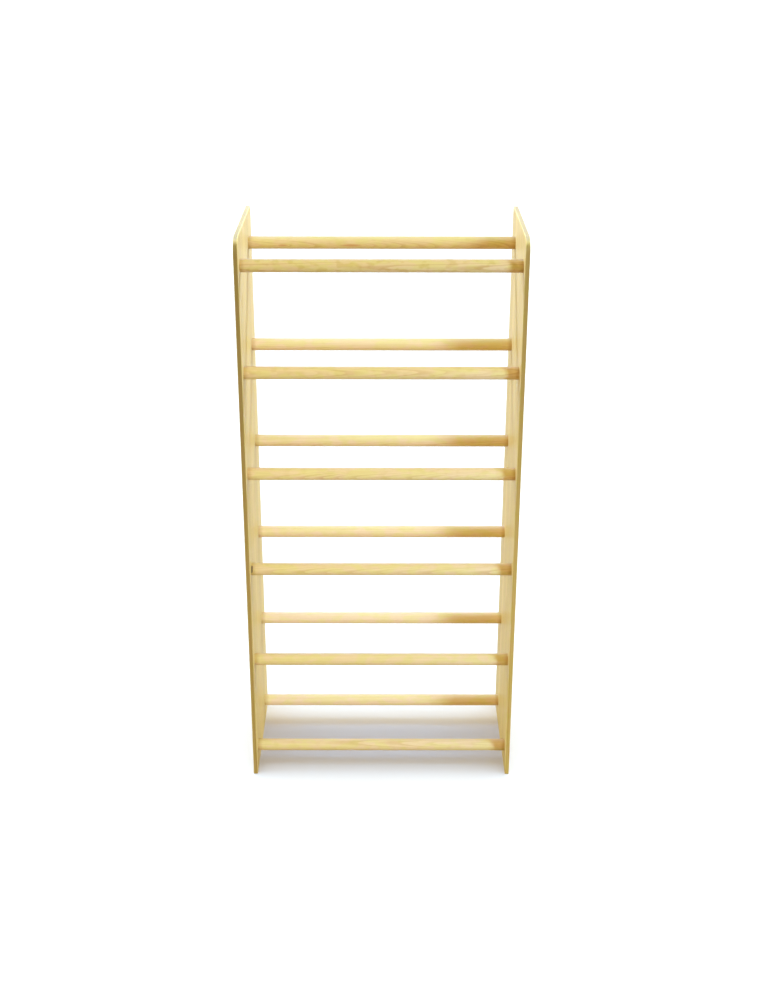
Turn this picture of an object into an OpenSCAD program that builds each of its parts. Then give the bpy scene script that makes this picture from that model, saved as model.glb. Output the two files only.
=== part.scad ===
// Open storage rack in pine: two upright side boards joined by round rails, a front rail and
// a rear rail to each tier. Each rail end stands in a shallow blind seat in its board, and one
// countersunk wood screw, driven through the board from outside, holds it there.
// Millimetres. +X runs across the width, +Y towards the back and +Z up. The origin is on the
// floor, under the middle of the rack.

/* [Side boards] */
// Clear width between the two boards
clear_w = 740; // [600:10:900]
// Thickness of a board
board_t = 12; // [10:1:24]
// Front edge of a board to the middle of the front rails
front_margin = 56; // [45:1:90]
// Middle of the rear rails to the rear edge of a board
rear_margin = 94; // [45:1:130]
// Middle of the top rails to the top edge of a board
top_margin = 84; // [60:1:150]
// Radius of the top front corner
top_front_r = 40; // [15:1:45]
// Radius of the top rear corner
top_rear_r = 12; // [5:1:40]
// Radius of the two corners on the floor
foot_r = 3; // [2:0.5:10]
// Chamfer that eases the outer edges
board_edge = 1.2; // [0.5:0.1:1.5]

/* [Tiers] */
// Number of tiers
tiers = 6; // [1:1:8]
// Floor to the middle of the lowest rails
foot_h = 68; // [50:1:150]
// Height from one tier to the next
tier_pitch = 294; // [200:1:400]
// Middle of a front rail to the middle of the rear rail behind it
rail_spacing = 257; // [150:1:400]

/* [Rails] */
// Diameter of a rail
rail_d = 35; // [25:1:45]
// Depth of the blind seat that a rail end stands in
seat_depth = 4; // [2:0.5:6]
// Gap round a rail end in its seat
seat_gap = 0.1; // [0.05:0.05:0.3]
// Chamfer round a rail end
rail_edge = 0.8; // [0.5:0.1:1.5]

/* [Screws] */
// Diameter over the crests of the thread
screw_d = 4.5; // [4:0.5:5]
// Length from the top of the head to the tip
screw_len = 50; // [40:5:60]
// Diameter of the countersunk head
head_d = 9; // [8:0.5:10]
// Diameter of the plain shank under the head
shank_d = 3.4; // [3:0.1:3.6]
// Gap round a screw in its holes
screw_gap = 0.15; // [0.05:0.05:0.3]

/* [Hidden] */
$fn = 96;
PINE_BOARD = [0.93, 0.83, 0.60];
PINE_RAIL = [0.91, 0.79, 0.52];
ZINC = [0.78, 0.78, 0.76];

// Side boards
board_d = front_margin + rail_spacing + rear_margin;
board_h = foot_h + (tiers - 1) * tier_pitch + top_margin;
// Corners of a board as [y, z, radius], seen from +X and anticlockwise from the rear foot
corners = [
    [board_d / 2, 0, foot_r],
    [board_d / 2, board_h, top_rear_r],
    [-board_d / 2, board_h, top_front_r],
    [-board_d / 2, 0, foot_r]
];
// How far a cutter stands out past the face that it cuts
over = 0.5;

// Rails
inner_x = clear_w / 2;
outer_x = inner_x + board_t;
front_y = front_margin - board_d / 2;
rear_y = front_y + rail_spacing;
rail_len = clear_w + 2 * seat_depth;

// Screws: a 90 degree head, a plain shank, ridges that stand for the thread, and a tip
head_land = 0.3;
head_h = head_land + (head_d - shank_d) / 2;
shank_end = 18;
tip_len = 5;
core_d = screw_d - 1.5;
thread_pitch = 2.25;
ridges = floor((screw_len - tip_len - shank_end) / thread_pitch);
recess_len = 5;
recess_w = 1.1;
recess_depth = 1.8;
hole_r = screw_d / 2 + screw_gap;
drill_point = 1.5;
// The pilot hole ends this far past the screw's tip
pilot_spare = 2;

// Height of a tier's rails
function rail_z(tier) = foot_h + (tier - 1) * tier_pitch;

// Puts its children at corner i of a board, turned so that the board lies towards -X and +Y
module at_corner(i)
    translate([corners[i][0], corners[i][1], 0])
        rotate([0, 0, 90 * i])
            children();

// What a rounded corner of this radius leaves off the square outline
module corner_waste(radius)
    difference() {
        translate([-radius, -over])
            square(radius + over);
        translate([-radius, radius])
            circle(radius);
    }

// Section of the chamfer cutter for the face at z = 0, with the outline at x = radius
function edge_section(radius) = [
    [radius - board_edge - over, -over],
    [radius + over, -over],
    [radius + over, board_edge + over]
];

// Cutter that chamfers the face at z = 0 round corner i and along the edge that follows it
module edge_cutter(i) {
    radius = corners[i][2];
    next = corners[(i + 1) % 4];
    span = norm([next[0] - corners[i][0], next[1] - corners[i][1]]) - radius - next[2];
    at_corner(i) {
        translate([-radius, radius, 0])
            rotate([0, 0, -90])
                rotate_extrude(angle = 90)
                    polygon(edge_section(radius));
        translate([0, radius + span, 0])
            rotate([90, 0, 0])
                linear_extrude(span)
                    polygon(edge_section(0));
    }
}

// A board lying down: its inner face at z = 0 and its outer face at z = board_t
module flat_board()
    difference() {
        linear_extrude(board_t)
            difference() {
                translate([-board_d / 2, 0])
                    square([board_d, board_h]);
                for (i = [0:3])
                    at_corner(i)
                        corner_waste(corners[i][2]);
            }
        for (i = [0:3]) {
            edge_cutter(i);
            translate([0, 0, board_t])
                mirror([0, 0, 1])
                    edge_cutter(i);
        }
        for (tier = [1:tiers])
            for (y = [front_y, rear_y])
                translate([y, rail_z(tier), 0])
                    rail_fixing();
    }

// Blind seat, screw hole and countersink for one rail end
module rail_fixing() {
    mouth_r = head_d / 2 + head_land;
    translate([0, 0, -over])
        cylinder(h = seat_depth + over, r = rail_d / 2 + seat_gap);
    cylinder(h = board_t, r = hole_r);
    translate([0, 0, board_t - mouth_r])
        cylinder(h = mouth_r + over, r1 = 0, r2 = mouth_r + over);
}

// Right-hand board, upright
module side_board()
    color(PINE_BOARD)
        translate([inner_x, 0, 0])
            rotate([90, 0, 90])
                flat_board();

module side_board_right() side_board();

module side_board_left() mirror([1, 0, 0]) side_board();

// One rail with its two pilot holes
module rail(y, tier)
    color(PINE_RAIL)
        translate([-rail_len / 2, y, rail_z(tier)])
            rotate([0, 90, 0])
                difference() {
                    rail_blank();
                    pilot_hole();
                    translate([0, 0, rail_len])
                        mirror([0, 0, 1])
                            pilot_hole();
                }

module rail_blank()
    rotate_extrude()
        polygon([
            [0, 0],
            [rail_d / 2 - rail_edge, 0],
            [rail_d / 2, rail_edge],
            [rail_d / 2, rail_len - rail_edge],
            [rail_d / 2 - rail_edge, rail_len],
            [0, rail_len]
        ]);

// Drilled from z = 0 upwards, with the drill's point at the bottom
module pilot_hole() {
    depth = screw_len - board_t + seat_depth + pilot_spare;
    translate([0, 0, -over])
        cylinder(h = depth + over, r = hole_r);
    translate([0, 0, depth])
        cylinder(h = drill_point, r1 = hole_r, r2 = 0);
}

// A countersunk wood screw: its head's top at z = 0, its tip at z = screw_len
module screw()
    difference() {
        rotate_extrude()
            polygon(concat(
                [
                    [0, 0],
                    [head_d / 2, 0],
                    [head_d / 2, head_land],
                    [shank_d / 2, head_h],
                    [shank_d / 2, shank_end]
                ],
                [for (i = [0:ridges - 1]) each [
                    [core_d / 2, shank_end + i * thread_pitch],
                    [screw_d / 2, shank_end + (i + 0.5) * thread_pitch]
                ]],
                [
                    [core_d / 2, shank_end + ridges * thread_pitch],
                    [0, screw_len]
                ]
            ));
        for (turn = [0, 90])
            rotate([0, 0, turn])
                translate([-recess_len / 2, -recess_w / 2, -over])
                    cube([recess_len, recess_w, recess_depth + over]);
    }

// The four screws of one tier
module tier_screws(tier)
    color(ZINC)
        for (side = [0, 1])
            mirror([side, 0, 0])
                for (y = [front_y, rear_y])
                    translate([outer_x, y, rail_z(tier)])
                        rotate([0, -90, 0])
                            screw();

side_board_left();
side_board_right();
for (tier = [1:tiers]) {
    rail(front_y, tier);
    rail(rear_y, tier);
    tier_screws(tier);
}
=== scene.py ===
"""Looks for the tyre storage rack: matt pine boards, lacquered rails, zinc screws, a pale studio."""

import math
from collections import namedtuple

import bpy
from mathutils import Matrix, Vector


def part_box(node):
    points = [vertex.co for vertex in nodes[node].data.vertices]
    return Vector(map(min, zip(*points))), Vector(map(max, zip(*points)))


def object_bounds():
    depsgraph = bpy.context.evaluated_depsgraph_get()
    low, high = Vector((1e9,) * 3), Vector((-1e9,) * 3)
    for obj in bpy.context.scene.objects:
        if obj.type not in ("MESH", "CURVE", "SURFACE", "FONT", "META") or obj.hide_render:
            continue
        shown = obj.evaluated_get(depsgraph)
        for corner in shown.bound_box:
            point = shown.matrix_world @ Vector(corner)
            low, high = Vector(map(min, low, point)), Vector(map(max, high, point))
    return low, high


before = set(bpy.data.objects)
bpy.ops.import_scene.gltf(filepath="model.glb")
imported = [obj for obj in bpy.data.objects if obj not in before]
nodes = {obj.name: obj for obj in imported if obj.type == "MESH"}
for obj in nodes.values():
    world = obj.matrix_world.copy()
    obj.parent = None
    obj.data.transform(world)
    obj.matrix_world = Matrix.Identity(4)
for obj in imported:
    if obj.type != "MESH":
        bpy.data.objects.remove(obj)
cad_low, cad_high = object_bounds()
scene = bpy.context.scene

SIDES = ("left", "right")
TIERS = range(1, 7)
INNER_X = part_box("side_board_right")[0].x

# Camera: how far it stands right of the rack's middle, in front of it and above its top, which way
# it looks, and its lens and film width in millimetres
CAMERA_SIDE = 0.007
CAMERA_FRONT = 3.662
CAMERA_ABOVE = 0.862
CAMERA_PITCH = math.radians(-23.45)
CAMERA_YAW = math.radians(0.13)
CAMERA_ROLL = math.radians(0.13)
CAMERA_LENS = 52.2
FILM_WIDTH = 36.0
FARTHEST_SEEN = 200.0

# Pine and its knots, as linear colours
EARLY_WOOD = (0.78, 0.545, 0.20)
LATE_WOOD = (0.60, 0.345, 0.088)
RED_KNOT = (0.58, 0.29, 0.08)
BLACK_KNOT = (0.07, 0.045, 0.02)

# Tones that multiply the colour of the wood. The board edge tones and the rail joint tone are
# painted shade.
PLAIN_CAST = (1.0, 1.0, 0.95)
YELLOW_CAST = (0.98, 1.02, 0.88)
PINK_CAST = (1.02, 0.98, 1.10)
MOTTLE_TONE = (0.90, 0.86, 0.66)
STREAK_TONE = (0.78, 0.62, 0.42)
BOARD_TONE = (0.93, 1.09, 1.53)
# Painted shade on the boards' narrow front and rear faces, deeper on the left board
EDGE_SHADES = {"left": (0.40, 0.335, 0.26), "right": (0.52, 0.46, 0.37)}
END_TONE = (0.40, 0.39, 0.44)
GLUE_TONE = (0.72, 0.60, 0.46)
# Painted shade on the rails where they meet the boards
JOINT_SHADE = (0.80, 0.70, 0.52)

# Growth rings: their mean width, how far the pith wanders and how far the rings ripple, in metres
RING_WIDTH = 0.0026
PITH_WANDER = 0.003
RING_RIPPLE = 0.0012

# Grain of the noises: repeats to a metre along the wood and, twice, across it
RIPPLE_GRAIN = (10.0, 40.0, 40.0)
FINE_GRAIN = (14.0, 900.0, 900.0)
STREAK_GRAIN = (2.2, 110.0, 110.0)
PATCH_GRAIN = (24.0, 50.0, 50.0)
MOTTLE_GRAIN = (40.0, 70.0, 70.0)

# A rail has painted shade from this far inside its board's face to this far past it
JOINT_INSIDE = 0.016
JOINT_PAST = 0.001

# Widths of a board's glued staves and of half a glue line
STAVE_WIDTH = 0.058
HALF_GLUE_LINE = 0.0004

# How a piece was cut from its log: where the pith lies across the grain, how far it leans to a
# metre, and the place along the log, which gives each piece its own figure
Cut = namedtuple("Cut", "pith lean log_place")
BOARD_CUTS = {
    "left": Cut((0.05, 0.0), (0.01, 0.012), 0.0),
    "right": Cut((0.05, 0.0), (0.01, 0.012), 5.0),
}

# A rail's look. The pith lies at an angle, in radians up from straight behind the rail's middle,
# and at a distance from it
Rail = namedtuple("Rail", "bright pale mottling pith_angle pith_distance lean log_place")
# bright and pale are partly each rail's own tone and partly painted light: the rear rails are set
# brighter and paler than the front ones in place of fill light on them
RAILS = {
    "rail_front_1": Rail(0.93, 0.22, 0.3, -0.80, 0.060, 0.030, 7.3),
    "rail_front_2": Rail(0.96, 0.15, 0.15, 1.20, 0.090, 0.010, 5.7),
    "rail_front_3": Rail(0.95, 0.10, 0.25, 0.10, 0.050, 0.035, 4.1),
    "rail_front_4": Rail(0.965, 0.10, 0.35, 0.30, 0.070, 0.040, 2.9),
    "rail_front_5": Rail(0.925, 0.00, 0.5, -0.35, 0.050, -0.035, 0.0),
    "rail_front_6": Rail(0.845, -0.04, 1.0, 0.05, 0.055, 0.012, 1.3),
    "rail_rear_1": Rail(1.10, 0.36, 0.15, 1.00, 0.080, 0.020, 14.9),
    "rail_rear_2": Rail(1.12, 0.43, 0.15, -1.90, 0.090, 0.010, 13.3),
    "rail_rear_3": Rail(1.10, 0.31, 0.15, 1.30, 0.100, -0.010, 11.7),
    "rail_rear_4": Rail(1.01, 0.20, 0.15, 0.50, 0.080, 0.020, 10.1),
    "rail_rear_5": Rail(1.035, 0.17, 0.15, 1.10, 0.070, -0.015, 8.9),
    "rail_rear_6": Rail(0.88, -0.16, 0.4, 0.35, 0.040, -0.050, 0.0),
}

# Knots by rail: a point on the branch, from the rail's middle, its way, its radius, how far the
# grain is squeezed when the knot is drawn (below 1 it is long), and its colour
Knot = namedtuple("Knot", "start way radius squeeze colour")
RAIL_KNOTS = {
    "rail_front_3": [
        Knot((-0.3685, -0.0155, 0.0065), (0.05, 0.39, 0.92), 0.0032, 1.0, BLACK_KNOT),
    ],
    "rail_rear_6": [
        Knot((-0.269, 0.0, 0.0), (-0.3, -0.95, -0.22), 0.003, 0.22, RED_KNOT),
        Knot((-0.074, 0.0, 0.0), (-0.5, -0.95, -0.20), 0.0038, 0.14, RED_KNOT),
    ],
}

# Floor: half its width, its colour and the colour of the soft shade under the rack. The shade
# fades out across the boards, and comes in and goes out between these depths
FLOOR_REACH = 40.0
FLOOR_COLOUR = (0.96, 0.93, 1.0)
SHADE_COLOUR = (0.585, 0.575, 0.69)
SHADE_SIDES = (INNER_X - 0.005, INNER_X + 0.015)
SHADE_FRONT = (-0.27, -0.10)
SHADE_REAR = (0.015, 0.16)

# Surrounding light: from the floor's side of the horizon, from above it, and where they meet
BELOW_LIGHT = (0.50, 0.38, 0.15)
ABOVE_LIGHT = (0.93, 0.82, 0.47)
HORIZON_BLEND = 0.03


def centre_of(name):
    low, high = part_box(name)
    return (low + high) / 2


class Graph:
    """A material's node tree. Each call adds one node and returns its output socket."""

    def __init__(self, name):
        self.material = bpy.data.materials.new(name)
        self.material.use_nodes = True
        self.tree = self.material.node_tree
        self.tree.nodes.clear()

    def feed(self, socket, value):
        if isinstance(value, bpy.types.NodeSocket):
            self.tree.links.new(value, socket)
        elif isinstance(value, tuple) and len(socket.default_value) == 4:
            socket.default_value = (*value, 1.0)
        else:
            socket.default_value = value

    def add(self, kind, inputs, output=0, **settings):
        node = self.tree.nodes.new("ShaderNode" + kind)
        for key, value in settings.items():
            setattr(node, key, value)
        for key, value in inputs.items():
            self.feed(node.inputs[key], value)
        return node.outputs[output]

    def math(self, operation, *values):
        return self.add("Math", dict(enumerate(values)), operation=operation)

    def vector(self, operation, *values):
        output = 1 if operation == "LENGTH" else 0
        return self.add("VectorMath", dict(enumerate(values)), output, operation=operation)

    def join(self, x, y, z):
        return self.add("CombineXYZ", {0: x, 1: y, 2: z})

    def split(self, vector):
        node = self.tree.nodes.new("ShaderNodeSeparateXYZ")
        self.feed(node.inputs[0], vector)
        return node.outputs

    def step(self, value, low, high, start=0.0, end=1.0):
        """Goes smoothly from start, where value is low, to end, where it is high."""
        inputs = {0: value, 1: low, 2: high, 3: start, 4: end}
        return self.add("MapRange", inputs, interpolation_type="SMOOTHSTEP")

    def noise(self, vector, scale, detail=2.0, roughness=0.5):
        """Smooth noise from 0 to 1."""
        inputs = {"Vector": vector, "Scale": scale, "Detail": detail, "Roughness": roughness}
        return self.add("TexNoise", inputs)

    def swing(self, vector, scale, amount, detail=2.0):
        """Smooth noise from -amount to amount."""
        centred = self.math("SUBTRACT", self.noise(vector, scale, detail), 0.5)
        return self.math("MULTIPLY", centred, 2 * amount)

    def mix(self, factor, a, b, blend="MIX"):
        inputs = {0: factor, 6: a, 7: b}
        return self.add("Mix", inputs, 2, data_type="RGBA", blend_type=blend)

    def finish(self, shader):
        output = self.tree.nodes.new("ShaderNodeOutputMaterial")
        self.tree.links.new(shader, output.inputs["Surface"])
        return self.material


def grain_noise(g, in_log, grain, detail, roughness=0.5):
    """Smooth noise with its own number of repeats along the wood and across it."""
    return g.noise(g.vector("MULTIPLY", in_log, grain), 1.0, detail, roughness)


def ring_field(g, point, in_log, cut):
    """Growth rings round a pith that runs along the grain. point is (along, across, across)."""
    along, across_1, across_2 = g.split(point)
    slow = g.join(g.split(in_log)[0], 0.0, 0.0)
    slow_elsewhere = g.vector("ADD", slow, (7.3, 0.0, 0.0))
    wander_1 = g.swing(slow, 3.0, PITH_WANDER)
    wander_2 = g.swing(slow_elsewhere, 3.0, PITH_WANDER)
    pith_1 = g.math("MULTIPLY_ADD", along, cut.lean[0], cut.pith[0])
    pith_2 = g.math("MULTIPLY_ADD", along, cut.lean[1], cut.pith[1])
    off_1 = g.math("SUBTRACT", g.math("SUBTRACT", across_1, pith_1), wander_1)
    off_2 = g.math("SUBTRACT", g.math("SUBTRACT", across_2, pith_2), wander_2)
    radius = g.vector("LENGTH", g.join(off_1, off_2, 0.0))
    ripple = g.swing(g.vector("MULTIPLY", in_log, RIPPLE_GRAIN), 1.0, RING_RIPPLE)
    rings = g.math("DIVIDE", g.math("ADD", radius, ripple), RING_WIDTH)
    uneven = g.swing(g.join(rings, 0.0, 0.0), 0.35, 0.6, 1.0)
    return g.math("ADD", rings, uneven)


def add_knot(g, point, rings, knot):
    """Bends the rings round a knot. Returns the new rings and how far off its middle, in radii."""
    x, y, z = knot.way
    flat_way = Vector((knot.squeeze * x, y, z)).normalized()
    off = g.vector("SUBTRACT", point, knot.start)
    squeezed = g.vector("MULTIPLY", off, (knot.squeeze, 1.0, 1.0))
    far = g.vector("LENGTH", g.vector("CROSS_PRODUCT", squeezed, tuple(flat_way)))
    reach = g.math("ADD", g.math("DIVIDE", far, knot.radius), g.swing(point, 180.0, 0.2))
    bend = g.math("EXPONENT", g.math("MULTIPLY", reach, -0.8))
    return g.math("MULTIPLY_ADD", bend, 3.0, rings), reach


def paint_knot(g, colour, height, reach, knot_colour):
    """Draws a knot, with fine rings of its own, and raises it slightly."""
    knot_ring = g.math("FRACT", g.math("MULTIPLY", reach, 3.5))
    inner = g.mix(g.math("MULTIPLY", knot_ring, 0.3), knot_colour, LATE_WOOD)
    colour = g.mix(g.step(reach, 0.5, 1.3, 1.0, 0.0), colour, inner)
    height = g.math("ADD", height, g.step(reach, 0.8, 1.2, 0.6, 0.0))
    return colour, height


def late_wood(g, rings, seed):
    """Late wood, from 0 to 1: it grows slowly across a ring and ends sharply. Rings differ."""
    phase = g.math("FRACT", rings)
    late = g.math("MULTIPLY", g.step(phase, 0.35, 0.93), g.step(phase, 0.95, 1.0, 1.0, 0.0))
    ring_number = g.math("FLOOR", rings)
    strength = g.add("TexWhiteNoise", {"Vector": g.join(ring_number, seed, 0.5)}, 0)
    return g.math("MULTIPLY", late, g.math("MULTIPLY_ADD", strength, 0.55, 0.15))


def figure(g, in_log, late, cast_strength, mottling):
    """Colour of the rings, with yellow and pink patches, mottling and thin darker streaks."""
    streak = grain_noise(g, in_log, STREAK_GRAIN, 3.0)
    patch = grain_noise(g, in_log, PATCH_GRAIN, 1.0)
    mottle = grain_noise(g, in_log, MOTTLE_GRAIN, 1.0)
    colour = g.mix(late, EARLY_WOOD, LATE_WOOD)
    cast = g.mix(g.step(patch, 0.4, 0.6), YELLOW_CAST, PINK_CAST)
    cast = g.mix(cast_strength, PLAIN_CAST, cast)
    colour = g.mix(1.0, colour, cast, "MULTIPLY")
    dapple = g.math("MULTIPLY", g.step(mottle, 0.5, 0.68), mottling)
    colour = g.mix(dapple, colour, MOTTLE_TONE, "MULTIPLY")
    dark = g.math("MULTIPLY", g.step(streak, 0.55, 0.8), 0.22)
    return g.mix(dark, colour, STREAK_TONE, "MULTIPLY")


def bare_pine(g, point, cut, tone, cast_strength, mottling, shade=0.0, knots=()):
    """Pine as a solid texture, so that rings meet across every face and edge.

    Returns its colour, its height for the bump, its late wood and its fine grain.
    """
    in_log = g.vector("ADD", point, (cut.log_place, 0.0, 0.0))
    rings = ring_field(g, point, in_log, cut)
    reaches = []
    for knot in knots:
        rings, reach = add_knot(g, point, rings, knot)
        reaches.append(reach)
    late = late_wood(g, rings, cut.pith[0])
    fine = grain_noise(g, in_log, FINE_GRAIN, 3.0, 0.6)
    colour = figure(g, in_log, late, cast_strength, mottling)
    colour = g.mix(1.0, colour, tone, "MULTIPLY")
    level = g.math("ADD", g.math("MULTIPLY_ADD", fine, 0.16, 0.92), shade)
    colour = g.mix(1.0, colour, g.join(level, level, level), "MULTIPLY")
    height = g.math("ADD", g.math("MULTIPLY", late, 0.5), g.math("MULTIPLY", fine, 0.35))
    for knot, reach in zip(knots, reaches):
        colour, height = paint_knot(g, colour, height, reach, knot.colour)
    return colour, height, late, fine


def finish_pine(g, colour, height, late, fine, grain_facing, gloss, coat):
    """Darkens the end grain and adds the surface: gloss, clear coat and bump."""
    end = g.step(g.math("ABSOLUTE", grain_facing), 0.6, 0.95)
    colour = g.mix(end, colour, END_TONE, "MULTIPLY")
    rough = g.math("MULTIPLY_ADD", fine, 0.16, 0.42)
    rough = g.math("MULTIPLY_ADD", late, -0.06, rough)
    bump = g.add("Bump", {"Strength": 0.35, "Distance": 0.0003, "Height": height})
    shader = g.add("BsdfPrincipled", {
        "Base Color": colour,
        "Roughness": rough,
        "Normal": bump,
        "IOR": 1.45,
        "Specular IOR Level": gloss,
        "Coat Weight": coat,
        "Coat Roughness": 0.38,
    })
    return g.finish(shader)


def rail_pine(name, rail):
    """Lacquered pine with the grain along X, and painted shade next to the boards."""
    g = Graph(name)
    place = g.add("TexCoord", {}, 3)
    facing = g.add("TexCoord", {}, 1)
    point = g.vector("SUBTRACT", place, tuple(centre_of(name)))
    pith = (
        rail.pith_distance * math.cos(rail.pith_angle),
        rail.pith_distance * math.sin(rail.pith_angle),
    )
    cut = Cut(pith, (rail.lean, 0.3 * rail.lean), rail.log_place)
    # Paler rails are bluer and a little greener
    tone = (rail.bright, rail.bright * (1 + 0.15 * rail.pale), rail.bright * (1 + rail.pale))
    knots = RAIL_KNOTS.get(name, ())
    colour, height, late, fine = bare_pine(
        g, point, cut, tone, cast_strength=1.0, mottling=rail.mottling, knots=knots
    )
    # Painted shade where the rail meets a board, its edge made slightly uneven
    uneven = g.swing(point, 60.0, 0.004)
    from_middle = g.math("ABSOLUTE", g.math("ADD", g.split(point)[0], uneven))
    near_board = g.step(from_middle, INNER_X - JOINT_INSIDE, INNER_X + JOINT_PAST)
    colour = g.mix(near_board, colour, JOINT_SHADE, "MULTIPLY")
    return finish_pine(g, colour, height, late, fine, g.split(facing)[0], gloss=0.5, coat=0.4)


def board_pine(name, cut, edge_shade):
    """Matt pine in glued staves with the grain along Z, with painted shade on its narrow faces that
    deepens towards the top.
    """
    g = Graph(name)
    place = g.add("TexCoord", {}, 3)
    facing = g.add("TexCoord", {}, 1)
    x, y, z = g.split(g.vector("SUBTRACT", place, tuple(centre_of(name))))
    point, shade, seam = stave_point(g, place, g.join(z, x, y), cut.log_place)
    colour, height, late, fine = bare_pine(
        g, point, cut, BOARD_TONE, cast_strength=0.5, mottling=0.2, shade=shade
    )
    colour = g.mix(seam, colour, GLUE_TONE, "MULTIPLY")
    height = g.math("SUBTRACT", height, seam)
    # Painted shade on the narrow front and rear faces
    narrow = g.step(g.math("ABSOLUTE", g.split(facing)[1]), 0.55, 0.9)
    colour = g.mix(narrow, colour, edge_shade, "MULTIPLY")
    # The painted shade on the narrow faces is lighter low down and deeper high up
    paler_below = g.step(g.split(place)[2], 0.4, 1.6, 1.17, 0.87)
    fade = g.join(paler_below, paler_below, paler_below)
    colour = g.mix(narrow, colour, fade, "MULTIPLY")
    return finish_pine(g, colour, height, late, fine, g.split(facing)[2], gloss=0.1, coat=0.0)


def stave_point(g, place, point, seed):
    """Shifts the grain of each glued stave of a board. Also gives its shade and the glue lines."""
    depth = g.math("DIVIDE", g.split(place)[1], STAVE_WIDTH)
    stave = g.math("FLOOR", depth)
    random_colour = g.add("TexWhiteNoise", {"Vector": g.join(stave, 3.7 + seed, 1.9)}, 1)
    pick = g.split(random_colour)
    middle = g.math("MULTIPLY", g.math("ADD", stave, 0.5), STAVE_WIDTH)
    move_along = g.math("MULTIPLY", pick[2], 3.0)
    move_1 = g.math("MULTIPLY_ADD", pick[0], 0.05, -0.02)
    move_2 = g.math("ADD", g.math("MULTIPLY_ADD", pick[1], 0.05, -0.025), middle)
    moved = g.vector("SUBTRACT", point, g.join(move_along, move_1, move_2))
    shade = g.math("MULTIPLY_ADD", pick[1], 0.14, -0.07)
    from_middle = g.math("ABSOLUTE", g.math("SUBTRACT", g.math("FRACT", depth), 0.5))
    seam = g.step(from_middle, 0.5 - HALF_GLUE_LINE / STAVE_WIDTH, 0.5)
    return moved, shade, seam


def dress(name, material):
    """Gives a CAD node its material."""
    piece = nodes[name]
    piece.data.materials.clear()
    piece.data.materials.append(material)


def zinc():
    """Bright zinc plate with faint blotches in its colour and gloss."""
    g = Graph("zinc")
    place = g.add("TexCoord", {}, 3)
    blotch = g.noise(place, 900.0, 3.0)
    colour = g.mix(blotch, (0.62, 0.62, 0.58), (0.80, 0.80, 0.78))
    rough = g.math("MULTIPLY_ADD", blotch, 0.2, 0.22)
    shader = g.add("BsdfPrincipled", {"Base Color": colour, "Roughness": rough, "Metallic": 1.0})
    return g.finish(shader)


def make_rails():
    for name, rail in RAILS.items():
        dress(name, rail_pine(name, rail))


def make_boards():
    for side in SIDES:
        name = f"side_board_{side}"
        dress(name, board_pine(name, BOARD_CUTS[side], EDGE_SHADES[side]))


def make_screws():
    material = zinc()
    for tier in TIERS:
        dress(f"screws_tier_{tier}", material)


def make_floor():
    """Pale floor with a soft grey shade under the rack."""
    mesh = bpy.data.meshes.new("floor")
    size = FLOOR_REACH
    z = cad_low.z
    corners = [(-size, -size, z), (size, -size, z), (size, size, z), (-size, size, z)]
    mesh.from_pydata(corners, [], [(0, 1, 2, 3)])
    floor = bpy.data.objects.new("floor", mesh)
    scene.collection.objects.link(floor)
    g = Graph("floor")
    x, y, _ = g.split(g.add("TexCoord", {}, 3))
    between = g.step(g.math("ABSOLUTE", x), *SHADE_SIDES, 1.0, 0.0)
    under = g.math("MULTIPLY", g.step(y, *SHADE_FRONT), g.step(y, *SHADE_REAR, 1.0, 0.0))
    colour = g.mix(g.math("MULTIPLY", between, under), FLOOR_COLOUR, SHADE_COLOUR)
    shader = g.add("BsdfPrincipled", {"Base Color": colour, "Roughness": 0.7})
    mesh.materials.append(g.finish(shader))
    floor.visible_diffuse = False
    return floor


def light_only(lamp, pieces):
    """Keeps a lamp's light off everything but these pieces, which still cast its shadows."""
    lit = bpy.data.collections.new(lamp.name + "_lights")
    for piece in pieces:
        lit.objects.link(piece)
    lamp.light_linking.receiver_collection = lit


def add_lamp(name, kind, colour, energy, towards, pieces):
    """A lamp that shines from towards on these pieces only."""
    data = bpy.data.lights.new(name, kind)
    data.color = colour
    data.energy = energy
    lamp = bpy.data.objects.new(name, data)
    scene.collection.objects.link(lamp)
    lamp.rotation_euler = towards.to_track_quat("Z", "Y").to_euler()
    light_only(lamp, pieces)
    return lamp


def add_sun(name, pieces, azimuth, elevation, spread, colour, strength=1.0):
    """Soft light from far off. Azimuth 0 comes from the front and 90 from the right, in degrees."""
    turn, rise = math.radians(azimuth), math.radians(elevation)
    towards = Vector((
        math.sin(turn) * math.cos(rise),
        -math.cos(turn) * math.cos(rise),
        math.sin(rise),
    ))
    lamp = add_lamp(name, "SUN", colour, strength * math.pi, towards, pieces)
    lamp.data.angle = math.radians(spread)


def add_panel(name, pieces, at, target, width, height, power, colour):
    """Flat soft light at a point, facing another. The camera doesn't see it."""
    lamp = add_lamp(name, "AREA", colour, power, Vector(at) - Vector(target), pieces)
    lamp.data.shape = "RECTANGLE"
    lamp.data.size = width
    lamp.data.size_y = height
    lamp.location = at
    lamp.visible_camera = False


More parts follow.
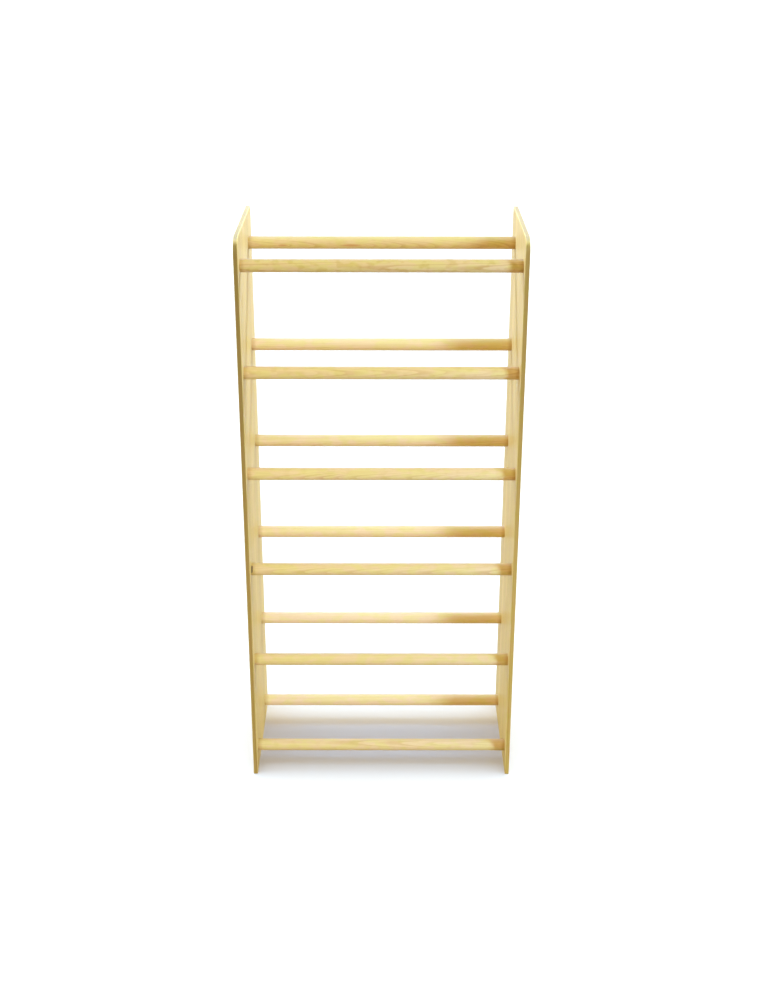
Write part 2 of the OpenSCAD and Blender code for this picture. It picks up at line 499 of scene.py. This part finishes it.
def make_world():
    """Warm light all round, weaker from below. The camera sees it as plain white."""
    world = bpy.data.worlds.new("studio")
    world.use_nodes = True
    tree = world.node_tree
    background = tree.nodes["Background"]
    place = tree.nodes.new("ShaderNodeTexCoord")
    split = tree.nodes.new("ShaderNodeSeparateXYZ")
    ramp = tree.nodes.new("ShaderNodeValToRGB")
    ray = tree.nodes.new("ShaderNodeLightPath")
    seen = tree.nodes.new("ShaderNodeMixRGB")
    ramp.color_ramp.elements[0].position = 0.0
    ramp.color_ramp.elements[0].color = (*BELOW_LIGHT, 1.0)
    ramp.color_ramp.elements[1].position = HORIZON_BLEND
    ramp.color_ramp.elements[1].color = (*ABOVE_LIGHT, 1.0)
    seen.inputs["Color2"].default_value = (1.0, 1.0, 1.0, 1.0)
    tree.links.new(place.outputs["Generated"], split.inputs[0])
    tree.links.new(split.outputs["Z"], ramp.inputs["Fac"])
    tree.links.new(ray.outputs["Is Camera Ray"], seen.inputs["Fac"])
    tree.links.new(ramp.outputs["Color"], seen.inputs["Color1"])
    tree.links.new(seen.outputs["Color"], background.inputs["Color"])
    scene.world = world


def light_rails(front_rails, rear_rails):
    """Keys from the front right, a tall strip beside the front one, and weak light from behind."""
    add_sun("front_key", front_rails, 42.0, 20.0, 13.0, (0.41, 0.60, 0.75))
    add_panel(
        "strip", front_rails, at=(1.0, -0.85, 0.85), target=(0.1, -0.15, 0.85),
        width=0.25, height=3.5, power=10.0, colour=(0.34, 0.92, 2.9),
    )
    add_sun("rear_key", rear_rails, 32.0, 20.0, 13.0, (0.39, 0.60, 1.06))
    add_sun("back", front_rails + rear_rails, 200.0, 30.0, 40.0, (0.15, 0.27, 0.58))


def light_boards(left, right):
    """Light for the front edges, the inner faces from behind, the outer faces and the upper ends."""
    add_sun("board_front", [left, right], 0.0, 20.0, 20.0, (0.54, 0.64, 0.55))
    add_sun("board_back", [left], 163.0, 52.0, 12.0, (1.12, 1.32, 1.15))
    add_sun("board_back", [right], 197.0, 52.0, 12.0, (1.05, 1.15, 0.9))
    for board, azimuth in ((left, -90.0), (right, 90.0)):
        add_sun("board_side", [board], azimuth, 0.0, 10.0, (0.38, 0.40, 0.88))
    add_panel(
        "top", [left, right], at=(0.0, 1.0, 2.85), target=(0.0, 0.0, 0.9),
        width=0.22, height=0.22, power=33.0, colour=(1.0, 1.20, 2.15),
    )


def make_studio(floor):
    """Lights for each group of pieces, and soft light from above, weaker on the front rails."""
    make_world()
    front_rails = [nodes[f"rail_front_{tier}"] for tier in TIERS]
    rear_rails = [nodes[f"rail_rear_{tier}"] for tier in TIERS]
    light_rails(front_rails, rear_rails)
    light_boards(*(nodes[f"side_board_{side}"] for side in SIDES))
    others = [piece for piece in nodes.values() if piece not in front_rails]
    for pieces, strength in ((front_rails, 0.35), ([*others, floor], 1.0)):
        add_sun("above", pieces, 180.0, 88.0, 60.0, (0.21, 0.46, 0.66), strength)
    add_sun("floor_light", [floor], 0.0, 90.0, 60.0, (0.19, 0.25, 0.43))
    scene.view_settings.view_transform = "Standard"


def make_camera():
    data = bpy.data.cameras.new("camera")
    data.lens = CAMERA_LENS
    data.sensor_width = FILM_WIDTH
    data.clip_end = FARTHEST_SEEN
    camera = bpy.data.objects.new("camera", data)
    scene.collection.objects.link(camera)
    forward = Vector((
        math.sin(CAMERA_YAW) * math.cos(CAMERA_PITCH),
        math.cos(CAMERA_YAW) * math.cos(CAMERA_PITCH),
        math.sin(CAMERA_PITCH),
    ))
    right = Vector((math.cos(CAMERA_YAW), -math.sin(CAMERA_YAW), 0.0))
    up = right.cross(forward)
    rolled_right = right * math.cos(CAMERA_ROLL) + up * math.sin(CAMERA_ROLL)
    rolled_up = up * math.cos(CAMERA_ROLL) - right * math.sin(CAMERA_ROLL)
    turn = Matrix((rolled_right, rolled_up, -forward)).transposed().to_4x4()
    at = Vector((CAMERA_SIDE, cad_low.y - CAMERA_FRONT, cad_high.z + CAMERA_ABOVE))
    camera.matrix_world = Matrix.Translation(at) @ turn
    scene.camera = camera


make_rails()
make_boards()
make_screws()
floor = make_floor()
make_studio(floor)
make_camera()
